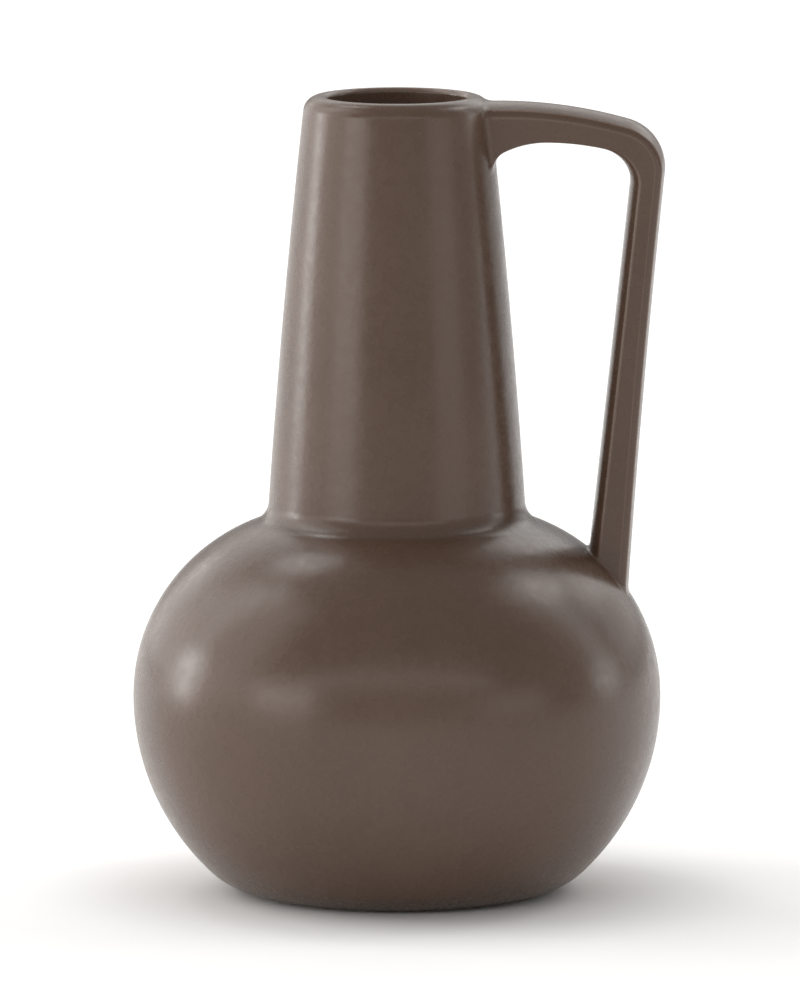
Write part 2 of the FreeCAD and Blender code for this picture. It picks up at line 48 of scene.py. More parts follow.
# Sizes of the pot, as in the frame
HEIGHT = 250.0
FOOT_RADIUS, FOOT_CURVE = 41.8, 25.0
BELLY_RADIUS, EQUATOR = 82.5, 61.5
SHOULDER_CURVE, FILLET_CURVE = 58.2, 7.7
NECK_BASE, NECK_BASE_HEIGHT = 40.1, 122.0
NECK_TOP, NECK_CURVE = 28.7, 3000.0
LIP_ROUNDING = 5.0
WALL, FLOOR, HOLLOW_CORNER = 5.0, 8.0, 18.0
MOUTH, MOUTH_ROUNDING = 22.0, 1.5
THROAT_TOP, THROAT_BASE, SLOPE_BASE = 248.5, 242.5, 239.5
RECESS, RING_INNER, RING_OUTER, RING_TOP = 2.0, 36.0, 46.0, 3.5
STEP, LIP_BASE = 2.0, 238.0
FLANGE_MARGIN = 3.0

# Rounding of the foot ring's inner edge, which is sharp in the frame
RING_ROUNDING = 0.6

# Sides of each turned piece
TURNED_SIDES = 224

# Sizes of the handle. The bar's lines, the outer corner and the strap's edges follow the
# photograph more closely than the frame does.
REACH, BAR_TOP, TOP_CURVE, OUTER_CORNER = 83.6, 248.35, 146.0, 15.6
BAR_CREST, BAR_UNDER = 32.2, 236.2
LEG_THICK, LEG_CURVE, LEG_INSET, LEG_FOOT_THICK = 10.9, 3500.0, 10.2, 13.5
INNER_CORNER, UNDER_CURVE = 11.0, 84.0
ROOT_LENGTH, ROOT_FLARE, ROOT_CORNER, ROOT_GAP = 17.8, 30.0, 6.0, 4.8
ROOT_SLOPE = math.radians(60.0)
STRAP_WIDTH, BAR_CROWN, LEG_CROWN, BAR_BEVEL = 20.6, 1.9, 1.0, 0.22
# Arcs of the strap's edges: radius, start and end in degrees, and share of the edge's lightening,
# which is partly thinner glaze and partly a painted highlight line
OUTER_EDGE = ((1.4, 24.0, 42.0, 1.6), (3.6, 42.0, 77.0, 0.0), (0.8, 77.0, 90.0, 1.0))
INNER_EDGE = ((10.0, 0.0, 20.0, 0.0), (6.5, 20.0, 48.0, 0.0), (1.6, 48.0, 90.0, 1.0))
ROOT_SPREAD, SPREAD_END, SPREAD_START, SPREAD_LIMIT = 0.8, 46.5, 28.0, 1.2
BAR_IN = 24.0

# The slip at the strap's two ends: its length, its rings, how deep its hidden ring is sunk, how
# much glaze gathers on it, how far up the lip's round it goes, and the amount and scale of its
# wide and fine wandering
ROOT_SLIP, FOOT_SLIP = 2.5, 2.2
SLIP_RINGS, SLIP_SUNK, SLIP_POOL = 9, 0.9, 0.5
LIP_REACH = math.radians(80.0)
WIDE_WANDER, WIDE_SCALE, FINE_WANDER, FINE_SCALE = 0.16, 0.11, 0.05, 0.45

# Spacing of the strap's mesh: steps over a flat and a side, rings over each stretch, and the
# shares of the bar and the leg at which the rings are square to the strap again
EDGE_SPACING, FLAT_STEPS, SIDE_STEPS = 0.22, 8, 12
ROOT_RINGS, BAR_RINGS, CORNER_RINGS, LEG_RINGS, FOOT_RINGS = 33, 39, 39, 109, 25
ROOT_JOIN_SHARE, FOOT_JOIN_SHARE = 0.30, 0.90

# Shares between which each end of the strap is searched for where it meets the pot, how often
# the search halves them, the small share that gives a line's direction, and the steps that
# bring a point onto the pot
ROOT_SEARCH_SHARES, FOOT_SEARCH_SHARES = (0.4, 0.0), (0.6, 1.12)
SEARCH_HALVINGS, SHARE_STEP, SETTLE_STEPS = 40, 1e-3, 8


# Plane geometry

def crossing(first, first_radius, second, second_radius, side):
    """The point at two distances from two centres; side 1 is left of first to second."""
    across = second[0] - first[0], second[1] - first[1]
    gap = math.hypot(*across)
    along = (gap ** 2 + first_radius ** 2 - second_radius ** 2) / (2 * gap)
    aside = side * math.sqrt(first_radius ** 2 - along ** 2)
    unit = across[0] / gap, across[1] / gap
    return (
        first[0] + along * unit[0] - aside * unit[1],
        first[1] + along * unit[1] + aside * unit[0],
    )


def bearing(start, end):
    """The angle of the line from start to end."""
    return math.atan2(end[1] - start[1], end[0] - start[0])


def level(centre, radius, height):
    """Where a circle's right half crosses a height."""
    return centre[0] + math.sqrt(radius ** 2 - (height - centre[1]) ** 2)


def plumb(centre, radius, across):
    """The height of a circle's upper half at a place across."""
    return centre[1] + math.sqrt(radius ** 2 - (across - centre[0]) ** 2)


def on_circle(centre, radius, angle):
    """The point of a circle at an angle."""
    return centre[0] + radius * math.cos(angle), centre[1] + radius * math.sin(angle)


def on_circle_rows(centre, radius, angles):
    """The points of a circle at an array of angles, one row each."""
    return np.array(centre) + radius * np.stack([np.cos(angles), np.sin(angles)], 1)


# Centres and ends of the arcs that shape the pot's wall
reach = BELLY_RADIUS - FOOT_RADIUS
rise = EQUATOR - FOOT_CURVE
BOWL_CURVE = (reach ** 2 + rise ** 2 - FOOT_CURVE ** 2) / (2 * (reach - FOOT_CURVE))
FOOT_C = (FOOT_RADIUS, FOOT_CURVE)
BOWL_C = (BELLY_RADIUS - BOWL_CURVE, EQUATOR)
DOME_C = (BELLY_RADIUS - SHOULDER_CURVE, EQUATOR)
NECK_C = crossing(
    (NECK_BASE, NECK_BASE_HEIGHT), NECK_CURVE, (NECK_TOP, HEIGHT), NECK_CURVE, 1
)
FILLET_C = crossing(
    DOME_C, SHOULDER_CURVE + FILLET_CURVE, NECK_C, NECK_CURVE + FILLET_CURVE, -1
)
LIP_C = (level(NECK_C, NECK_CURVE - LIP_ROUNDING, HEIGHT - LIP_ROUNDING), HEIGHT - LIP_ROUNDING)
FOOT_END = bearing(BOWL_C, FOOT_C)
DOME_END = bearing(DOME_C, FILLET_C)
NECK_START = bearing(NECK_C, FILLET_C)
LIP_START = bearing(NECK_C, LIP_C)
DOME_TOP = on_circle(DOME_C, SHOULDER_CURVE, DOME_END)[1]
NECK_FOOT = on_circle(FILLET_C, FILLET_CURVE, NECK_START + math.pi)[1]
fillet_share = SHOULDER_CURVE / (SHOULDER_CURVE + FILLET_CURVE)
FLANGE = DOME_C[0] + (NECK_BASE + FILLET_CURVE - DOME_C[0]) * fillet_share + FLANGE_MARGIN
SEAT = plumb(DOME_C, SHOULDER_CURVE - WALL / 2, FLANGE)
CORNER_C = (
    level(BOWL_C, BOWL_CURVE - WALL - HOLLOW_CORNER, FLOOR + HOLLOW_CORNER),
    FLOOR + HOLLOW_CORNER,
)
CORNER_END = bearing(BOWL_C, CORNER_C)


def pot_radius(height):
    """The outside radius of the pot at heights from the foot's corner up to the lip."""
    height = np.asarray(height, float)
    bowl = BOWL_C[0] + np.sqrt(np.maximum(BOWL_CURVE ** 2 - (height - EQUATOR) ** 2, 0))
    dome = DOME_C[0] + np.sqrt(np.maximum(SHOULDER_CURVE ** 2 - (height - EQUATOR) ** 2, 0))
    fillet = FILLET_C[0] - np.sqrt(
        np.maximum(FILLET_CURVE ** 2 - (height - FILLET_C[1]) ** 2, 0)
    )
    neck = NECK_C[0] + np.sqrt(NECK_CURVE ** 2 - (height - NECK_C[1]) ** 2)
    lip = LIP_C[0] + np.sqrt(np.maximum(LIP_ROUNDING ** 2 - (height - LIP_C[1]) ** 2, 0))
    lip_foot = on_circle(NECK_C, NECK_CURVE, LIP_START)[1]
    return np.select(
        [height < EQUATOR, height < DOME_TOP, height < NECK_FOOT, height < lip_foot],
        [bowl, dome, fillet, neck], lip,
    )


def pot_normal(points):
    """Unit normals of the pot's outside at points near it."""
    points = np.asarray(points, float)
    height = points[:, 2]
    step = 0.05
    slope = (pot_radius(height + step) - pot_radius(height - step)) / (2 * step)
    around = np.hypot(points[:, 0], points[:, 1])
    off, up = around - LIP_C[0], height - LIP_C[1]
    on_lip = up > 0
    across = np.where(on_lip, off, 1.0) / around
    normal = np.stack([
        points[:, 0] * across, points[:, 1] * across, np.where(on_lip, up, -slope),
    ], 1)
    return normal / np.linalg.norm(normal, axis=1, keepdims=True)


def pot_gap(points):
    """How far points are outside the pot's surface, level with it."""
    return np.hypot(points[..., 0], points[..., 1]) - pot_radius(points[..., 2])


def onto_pot(points):
    """Points moved along the pot's normals until they are on its surface."""
    points = np.array(points, float)
    around = np.hypot(points[:, 0], points[:, 1])
    up = points[:, 2] - LIP_C[1]
    on_lip = up > 0
    angle = np.minimum(np.arctan2(up, around - LIP_C[0]), LIP_REACH)
    on_round = on_circle_rows(LIP_C, LIP_ROUNDING, angle)
    turn = points[:, :2] / around[:, None]
    rounded = np.hstack([turn * on_round[:, :1], on_round[:, 1:]])
    for _ in range(SETTLE_STEPS):
        normal = pot_normal(points)
        across = np.hypot(normal[:, 0], normal[:, 1])
        points -= normal * (pot_gap(points) * across)[:, None]
    return np.where(on_lip[:, None], rounded, points)


# Turned pieces

def arc_run(centre, radius, start, end, facing=1, step=1.0):
    """Points (r, z, normal r, normal z) along an arc; facing -1 turns the normal inwards."""
    count = max(3, int(math.ceil(abs(end - start) * radius / step)))
    angles = np.linspace(start, end, count + 1)
    across, up = np.cos(angles), np.sin(angles)
    return np.stack([
        centre[0] + radius * across, centre[1] + radius * up, facing * across, facing * up,
    ], 1)


def line_run(start, end, step=3.0):
    """Points along a line, with the normal on its right."""
    length = math.dist(start, end)
    count = max(1, int(math.ceil(length / step)))
    share = np.linspace(0, 1, count + 1)[:, None]
    normal = np.array([end[1] - start[1], start[0] - end[0]]) / length
    points = np.array(start) * (1 - share) + np.array(end) * share
    return np.hstack([points, np.tile(normal, (count + 1, 1))])


def blade(*points):
    """Straight hidden faces through points, each a run of its own."""
    return [line_run(start, end) for start, end in zip(points, points[1:])]


def turned(name, runs, material, thinning_highlight_and_pool):
    """Turns a chain of runs about the axis into a closed mesh with exact normals."""
    closed = runs[0][0][0] > TINY
    points, faces, corner_rows = [tuple(runs[0][0][:2])], [], []
    for run in runs:
        if math.dist(points[-1], run[0][:2]) > TINY:
            raise ValueError(f"{name}: a run starts at {run[0][:2]}, not at {points[-1]}")
        for before, row in zip(run, run[1:]):
            points.append(tuple(row[:2]))
            faces.append((len(points) - 2, len(points) - 1))
            corner_rows.append((before, row))
    if closed:
        points.pop()
        faces[-1] = (len(points) - 1, 0)
    sides = TURNED_SIDES
    angles = np.arange(sides) * TURN / sides
    cosines, sines = np.cos(angles), np.sin(angles)
    starts, vertices = [], []
    for across, up in points:
        starts.append(len(vertices))
        if across < TINY:
            vertices.append((0.0, 0.0, up))
        else:
            vertices.extend(zip(across * cosines, across * sines, [up] * sides))
    polygons, normals = [], []
    for (low, high), (low_row, high_row) in zip(faces, corner_rows):
        low_pole, high_pole = points[low][0] < TINY, points[high][0] < TINY
        for here in range(sides):
            beyond = (here + 1) % sides
            low_places = [here] if low_pole else [here, beyond]
            high_places = [here] if high_pole else [beyond, here]
            low_first, high_first = starts[low], starts[high]
            corners = [
                (low_first + (0 if low_pole else place), low_row, place)
                for place in low_places
            ]
            corners += [
                (high_first + (0 if high_pole else place), high_row, place)
                for place in high_places
            ]
            polygons.append([corner[0] for corner in corners])
            normals += [
                (row[2] * cosines[place], row[2] * sines[place], row[3])
                for _, row, place in corners
            ]
    return mesh_piece(name, vertices, polygons, normals, material, thinning_highlight_and_pool)


def mesh_piece(name, vertices, polygons, normals, material, thinning_highlight_and_pool):
    """Makes a piece of the jug, in millimetres, with its own normal at each face corner."""
    vertices = np.array(vertices, float)
    mesh = bpy.data.meshes.new(name)
    mesh.from_pydata((vertices * MM).tolist(), [], polygons)
    mesh.polygons.foreach_set("use_smooth", [True] * len(mesh.polygons))
    # Per-point lightening for thinner glaze and painted highlight lines, and darkening where glaze
    # gathers.
    layer = mesh.attributes.new("thin_glaze_highlight_and_pool", "FLOAT", "POINT")
    layer.data.foreach_set("value", np.asarray(thinning_highlight_and_pool(vertices), np.float32))
    mesh.materials.append(material)
    mesh.update()
    normals = np.array(normals, float)
    normals /= np.linalg.norm(normals, axis=1, keepdims=True)
    mesh.normals_split_custom_set(normals.tolist())
    piece = bpy.data.objects.new(name, mesh)
    bpy.context.scene.collection.objects.link(piece)
    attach(piece, "root")
    return piece


def bump_of(distance, width):
    """A smooth hill, 1 high at distance 0."""
    return np.exp(-((distance / width) ** 2))


# Places where the glaze is lightened, for thinner glaze and as a painted highlight line, or gathers:
# across and height, width, amount
MOUTH_EDGE_HIGHLIGHT = ((MOUTH + 0.4, THROAT_TOP + 1.1), 1.0, 1.0)
LIP_EDGE_HIGHLIGHT = ((NECK_TOP - 1.2, HEIGHT - 1.2), 2.4, 0.35)
NECK_POOL = ((42.5, 117.8), 4.5, -0.8)
RIM_FROM, OUTSIDE_FROM = 240.0, NECK_BASE - 4


def pot_thinning_highlight_and_pool(points):
    """How much the pot's glaze is lightened, over 0, at the rim's edges for thinner glaze and as
    painted highlight lines, or darkened, under 0, where it gathers.
    """
    across = np.hypot(points[:, 0], points[:, 1])
    height = points[:, 2]
    mouth_highlight, lip_highlight, neck_pool = (
        amount * bump_of(np.hypot(across - place[0], height - place[1]), width)
        for place, width, amount in (MOUTH_EDGE_HIGHLIGHT, LIP_EDGE_HIGHLIGHT, NECK_POOL)
    )
    # Painted highlight: the mouth's and lip's edges are lightened, partly for thinner glaze.
    rim = (height > RIM_FROM) * (mouth_highlight + lip_highlight)
    return rim + (across > OUTSIDE_FROM) * neck_pool


# Handle

def make_handle_curves():
    """Centres and tangent angles of the handle's outer and inner outlines."""
    top = (BAR_CREST, BAR_TOP - TOP_CURVE)
    across = REACH - OUTER_CORNER
    corner = (across, plumb(top, TOP_CURVE - OUTER_CORNER, across))
    foot_across = BELLY_RADIUS - LEG_INSET
    foot = (foot_across, plumb(DOME_C, SHOULDER_CURVE, foot_across))
    leg = crossing(corner, OUTER_CORNER + LEG_CURVE, foot, LEG_CURVE, 1)
    under = (NECK_TOP + ROOT_LENGTH, BAR_UNDER - UNDER_CURVE)
    inner_across = REACH - LEG_THICK - INNER_CORNER
    inner = (inner_across, plumb(under, UNDER_CURVE - INNER_CORNER, inner_across))
    inner_foot = (foot[0] - LEG_FOOT_THICK, foot[1])
    slant = math.asin(INNER_CORNER / math.dist(inner_foot, inner))
    leg_angle = bearing(inner_foot, inner) - slant
    flare = (under[0], under[1] + UNDER_CURVE - ROOT_FLARE)
    flare_across = NECK_TOP + ROOT_GAP
    flare_angle = bearing(flare, (flare_across, plumb(flare, ROOT_FLARE, flare_across)))
    root = on_circle(flare, ROOT_FLARE - ROOT_CORNER, flare_angle)
    return dict(
        top=top, corner=corner, foot=foot, leg=leg, under=under, inner=inner,
        inner_foot=inner_foot, leg_angle=leg_angle, flare=flare,
        flare_across=flare_across, root=root,
    )


HANDLE = make_handle_curves()
TOP_END = bearing(HANDLE["top"], HANDLE["corner"])
CORNER_LOW = bearing(HANDLE["corner"], HANDLE["leg"])
LEG_HIGH = bearing(HANDLE["leg"], HANDLE["corner"])
UNDER_END = bearing(HANDLE["under"], HANDLE["inner"])
INNER_LOW = HANDLE["leg_angle"] - math.pi / 2
OUTER_X = on_circle(HANDLE["top"], TOP_CURVE, TOP_END)[0]
INNER_X = on_circle(HANDLE["under"], UNDER_CURVE, UNDER_END)[0]
INNER_LEG_TOP = on_circle(HANDLE["inner"], INNER_CORNER, INNER_LOW)
slope_top = on_circle(HANDLE["root"], ROOT_CORNER, ROOT_SLOPE + math.pi / 2)


def gap_ceiling(across):
    """Height and gap-facing normal of the handle's underside at places across."""
    pieces = [
        (HANDLE["root"], ROOT_CORNER), (HANDLE["flare"], ROOT_FLARE), (HANDLE["under"], UNDER_CURVE),
    ]
    height, normal = np.zeros_like(across), np.zeros(across.shape + (2,))
    kind = np.select(
        [across < slope_top[0], across < HANDLE["flare_across"], across < HANDLE["flare"][0]],
        [0, 1, 2], 3,
    )
    for number, (centre, radius) in enumerate(pieces, start=1):
        chosen = kind == number
        off = across[chosen] - centre[0]
        up = np.sqrt(radius ** 2 - off ** 2)
        height[chosen] = centre[1] + up
        normal[chosen] = -np.stack([off, up], -1) / radius
    chosen = kind == 0
    height[chosen] = slope_top[1] + (across[chosen] - slope_top[0]) * math.tan(ROOT_SLOPE)
    normal[chosen] = (math.sin(ROOT_SLOPE), -math.cos(ROOT_SLOPE))
    return height, normal


# The strap's three regions, from root to foot
BAR, CORNER, LEG = range(3)


def strap_lines(region, share):
    """Outer and inner outline points with normals, for shares along one region."""
    share = np.asarray(share, float)
    if region == BAR:
        across = BAR_IN + (OUTER_X - BAR_IN) * share
        off = across - HANDLE["top"][0]
        up = np.sqrt(TOP_CURVE ** 2 - off ** 2)
        outer = np.stack([across, HANDLE["top"][1] + up], -1)
        outer_normal = np.stack([off, up], -1) / TOP_CURVE
        across = BAR_IN + (INNER_X - BAR_IN) * share
        height, inner_normal = gap_ceiling(across)
        inner = np.stack([across, height], -1)
    elif region == CORNER:
        angle = TOP_END + (CORNER_LOW - TOP_END) * share
        outer_normal = np.stack([np.cos(angle), np.sin(angle)], -1)
        outer = np.array(HANDLE["corner"]) + OUTER_CORNER * outer_normal
        angle = UNDER_END + (INNER_LOW - UNDER_END) * share
        inner_normal = -np.stack([np.cos(angle), np.sin(angle)], -1)
        inner = np.array(HANDLE["inner"]) - INNER_CORNER * inner_normal
    else:
        high = on_circle(HANDLE["leg"], LEG_CURVE, LEG_HIGH)[1]
        height = high + (HANDLE["foot"][1] - high) * share
        off = height - HANDLE["leg"][1]
        back = np.sqrt(LEG_CURVE ** 2 - off ** 2)
        outer = np.stack([HANDLE["leg"][0] - back, height], -1)
        outer_normal = np.stack([back, -off], -1) / LEG_CURVE
        start, end = np.array(INNER_LEG_TOP), np.array(HANDLE["inner_foot"])
        inner = start + (end - start) * share[..., None]
        along = (end - start) / np.linalg.norm(end - start)
        inner_normal = np.broadcast_to(np.array([along[1], -along[0]]), inner.shape)
    return outer, outer_normal, inner, inner_normal


def edge_steps(arcs):
    """Places along one rounded edge: inset from the side, drop from the face, share of lightening
    for thinner glaze and painted highlight.
    """
    places, inset, drop = [(0.0, 0.0, 0.0)], 0.0, 0.0
    for radius, low, high, wear_and_highlight in arcs:
        low, high = math.radians(low), math.radians(high)
        count = max(3, math.ceil(radius * (high - low) / EDGE_SPACING))
        for number in range(1, count + 1):
            angle = low + (high - low) * number / count
            places.append((
                inset + radius * (math.sin(angle) - math.sin(low)),
                drop + radius * (math.cos(low) - math.cos(angle)), wear_and_highlight,
            ))
        inset, drop = places[-1][:2]
    return [(inset - place[0], place[1], place[2]) for place in places]


def strap_ring():
    """Places round the strap's section: face, share of its flat, inset, drop, side, and share of
    lightening for thinner glaze and painted highlight.
    """
    outer, inner = edge_steps(OUTER_EDGE), edge_steps(INNER_EDGE)
    flat, side_steps, ring = FLAT_STEPS, SIDE_STEPS, []
    ring += [("outer", -1 + 2 * number / flat, outer[0][0], 0, 0, 0) for number in range(flat)]
    ring += [("outer", 1, *place[:2], 1, place[2]) for place in outer[:-1]]
    ring += [("side", number / side_steps, 0, 0, 1, 0) for number in range(side_steps)]
    ring += [("inner", 1, *place[:2], 1, place[2]) for place in inner[::-1][:-1]]
    ring += [("inner", 1 - 2 * number / flat, inner[0][0], 0, 0, 0) for number in range(flat)]
    ring += [("inner", 1, *place[:2], -1, place[2]) for place in inner[:-1]]
    ring += [("side", 1 - number / side_steps, 0, 0, -1, 0) for number in range(side_steps)]
    ring += [("outer", 1, *place[:2], -1, place[2]) for place in outer[::-1][:-1]]
    return ring


RING = strap_ring()
OUTER_DROP, INNER_DROP = edge_steps(OUTER_EDGE)[-1][1], edge_steps(INNER_EDGE)[-1][1]


def strap_half(region, share):
    """Half the strap's width, which spreads towards the bar's root."""
    share = np.asarray(share, float)
    if region != BAR:
        return np.full(share.shape, STRAP_WIDTH / 2)
    across = BAR_IN + (OUTER_X - BAR_IN) * share
    spread = (SPREAD_END - across) / (SPREAD_END - SPREAD_START)
    spread = np.clip(spread, 0, SPREAD_LIMIT)
    return STRAP_WIDTH / 2 + ROOT_SPREAD * spread ** 2


def leg_share(region, share):
    """How far the section has turned from the bar's, 0, into the leg's, 1."""
    share = np.asarray(share, float)
    if region == CORNER:
        return share ** 2 * (3 - 2 * share)
    return np.full(share.shape, 0.0 if region == BAR else 1.0)


def strap_point(place, region, share):
    """Points of the strap's surface on one line of the ring, for shares along a region."""
    kind, amount, inset, drop, side, _ = place
    outer, outer_normal, inner, inner_normal = strap_lines(region, share)
    half, turned_in = strap_half(region, share), leg_share(region, share)
    rounding = BAR_BEVEL + (1 - BAR_BEVEL) * turned_in
    crown = BAR_CROWN + (LEG_CROWN - BAR_CROWN) * turned_in
    if kind == "side":
        high = outer - outer_normal * (OUTER_DROP + crown)[..., None]
        low = inner - inner_normal * (INNER_DROP * rounding)[..., None]
        flat, deep = high * (1 - amount) + low * amount, side * half
    else:
        if kind == "outer":
            flat = outer - outer_normal * (crown * amount ** 2 + drop)[..., None]
        else:
            flat = inner - inner_normal * (drop * rounding)[..., None]
            inset = inset * rounding
        deep = (side or amount) * (half - inset)
    return np.stack([flat[..., 0], deep, flat[..., 1]], -1)


def contact(place, region, outside, inside):
    """The share along a region at which a line of the strap meets the pot's surface."""
    for _ in range(SEARCH_HALVINGS):
        middle = (outside + inside) / 2
        point = strap_point(place, region, np.array([middle]))
        if pot_gap(point)[0] > 0:
            outside = middle
        else:
            inside = middle
    return (outside + inside) / 2


def strap_row(region, shares):
    """One point of the strap on each line of the ring, each at its own share."""
    return np.array([
        strap_point(place, region, np.array([share]))[0] for place, share in zip(RING, shares)
    ])


def slip_skirt(region, shares, toward, length):
    """The slip fillet round one end of the strap: where lines leave it, its rings, its foot."""
    touch = strap_row(region, shares)
    step = SHARE_STEP * toward
    beside = strap_row(region, shares - step)
    away = beside - touch
    speed = np.linalg.norm(away, axis=1)
    away /= speed[:, None]
    normal = pot_normal(touch)
    along = np.roll(touch, -1, 0) - np.roll(touch, 1, 0)
    along /= np.linalg.norm(along, axis=1, keepdims=True)
    out = np.cross(along, normal)
    out /= np.linalg.norm(out, axis=1, keepdims=True)
    centre = touch.mean(0)
    if np.sum((touch - centre) * out) < 0:
        out = -out
    wander = np.array([
        1 + WIDE_WANDER * noise.noise(Vector(point) * WIDE_SCALE)
        + FINE_WANDER * noise.noise(Vector(point) * FINE_SCALE)
        for point in touch
    ])
    reach_on = length * wander
    leave = shares - toward * reach_on / speed * SHARE_STEP
    start = strap_row(region, leave)
    end = onto_pot(touch + out * reach_on[:, None])
    rings = []
    for share in np.linspace(0, 1, SLIP_RINGS + 1)[1:]:
        rings.append(
            start * (1 - share) ** 2 + touch * 2 * share * (1 - share) + end * share ** 2
        )
    hidden = end - pot_normal(end) * SLIP_SUNK
    return leave, rings, hidden


def strap_rings():
    """The rings of the handle from root to foot, and how much the inner edge is lightened on each,
    for thinner glaze and as a painted highlight line.
    """
    root_meet = np.array([contact(place, BAR, *ROOT_SEARCH_SHARES) for place in RING])
    foot_meet = np.array([contact(place, LEG, *FOOT_SEARCH_SHARES) for place in RING])
    root_leave, root_rings, root_hidden = slip_skirt(BAR, root_meet, -1, ROOT_SLIP)
    foot_leave, foot_rings, foot_hidden = slip_skirt(LEG, foot_meet, 1, FOOT_SLIP)

    rings, wear_and_highlight = [root_hidden] + root_rings[::-1], [0.0] * (len(root_rings) + 1)
    for along in np.linspace(0, 1, ROOT_RINGS + 1)[:-1]:
        rings.append(strap_row(BAR, root_leave + (ROOT_JOIN_SHARE - root_leave) * along))
        wear_and_highlight.append(0.0)
    common = [(BAR, share) for share in np.linspace(ROOT_JOIN_SHARE, 1, BAR_RINGS + 1)[:-1]]
    common += [(CORNER, share) for share in np.linspace(0, 1, CORNER_RINGS + 1)[:-1]]
    common += [(LEG, share) for share in np.linspace(0, FOOT_JOIN_SHARE, LEG_RINGS + 1)[:-1]]
    for region, share in common:
        rings.append(strap_row(region, [share] * len(RING)))
        wear_and_highlight.append(float(leg_share(region, share)))
    for along in np.linspace(0, 1, FOOT_RINGS + 1):
        rings.append(strap_row(LEG, FOOT_JOIN_SHARE + (foot_leave - FOOT_JOIN_SHARE) * along))
        wear_and_highlight.append(1.0)
    rings += foot_rings + [foot_hidden]
    wear_and_highlight += [1.0] * (len(foot_rings) + 1)
    return np.array(rings), np.array(wear_and_highlight)


def handle_thinning_highlight_and_pool(wear_and_highlight, total):
    """Where the handle's edges are lightened, for thinner glaze and as painted highlight lines, and
    where glaze gathers in the slip at its ends.
    """
    edge = np.array([place[-1] for place in RING])
    on_inner = np.array([place[0] == "inner" for place in RING])
    # Painted highlight lines, with thinner glaze, lighten the strap's edges; on the inner edge they
    # fade in round the corner.
    worn_and_highlit = edge * np.where(on_inner, wear_and_highlight[:, None], 1.0)
    skirt = SLIP_RINGS + 1
    body = np.ones(total)
    body[:skirt] = np.linspace(-1, 0, skirt)
    body[-skirt:] = np.linspace(0, -1, skirt)
    gathered = -SLIP_POOL * (1 - np.abs(2 * np.abs(body[:, None]) - 1))
    return np.where(body[:, None] > 0, worn_and_highlit, gathered)


def make_handle(material):
    """The strap handle as one closed mesh, with slip smoothed round both ends."""
    count = len(RING)
    points, wear_and_highlight = strap_rings()
    total = len(points)
    vertices = points.reshape(-1, 3)
    polygons = []
    for ring in range(total - 1):
        here, beyond = ring * count, (ring + 1) * count
        for line in range(count):
            beside = (line + 1) % count
            polygons.append([here + line, here + beside, beyond + beside, beyond + line])
    vertices = np.vstack([vertices, points[0].mean(0), points[-1].mean(0)])
    first, last = total * count, total * count + 1
    last_ring = (total - 1) * count
    for line in range(count):
        beside = (line + 1) % count
        polygons.append([first, beside, line])
        polygons.append([last, last_ring + line, last_ring + beside])
    if signed_volume(vertices, polygons) < 0:
        polygons = [polygon[::-1] for polygon in polygons]
    normals = corner_normals(vertices, polygons, points, count)

    thinning_highlight_and_pool = np.zeros(len(vertices))
    thinning_highlight_and_pool[: total * count] = handle_thinning_highlight_and_pool(wear_and_highlight, total).reshape(-1)
    return mesh_piece(
        "handle_strap", vertices, polygons, normals, material, lambda _: thinning_highlight_and_pool,
    )


def signed_volume(vertices, polygons):
    """The volume inside the polygons, under 0 if they face inwards."""
    total = 0.0
    for face in polygons:
        first = vertices[face[0]]
        for second, third in zip(face[1:-1], face[2:]):
            total += np.dot(first, np.cross(vertices[second], vertices[third]))
    return total / 6


def corner_normals(vertices, polygons, points, count):
    """Smooth normals at each corner, with the pot's own where the slip runs out on it."""
    vertex_normals = np.zeros_like(vertices)
    for face in polygons:
        places = vertices[face]
        area = np.zeros(3)
        for second, third in zip(places[1:-1], places[2:]):
            area += np.cross(second - places[0], third - places[0])
        for index in face:
            vertex_normals[index] += area
    total = len(points)
    for ring in (1, total - 2):
        rows = slice(ring * count, (ring + 1) * count)
        vertex_normals[rows] = pot_normal(vertices[rows])
    normals = []
    hidden = set(range(count)) | set(range((total - 1) * count, len(vertices)))
    for face in polygons:
        if any(index in hidden for index in face):
            places = vertices[face]
            normals += [np.cross(places[1] - places[0], places[2] - places[0])] * len(face)
        else:
            normals += [vertex_normals[index] for index in face]
    return normals


# Materials

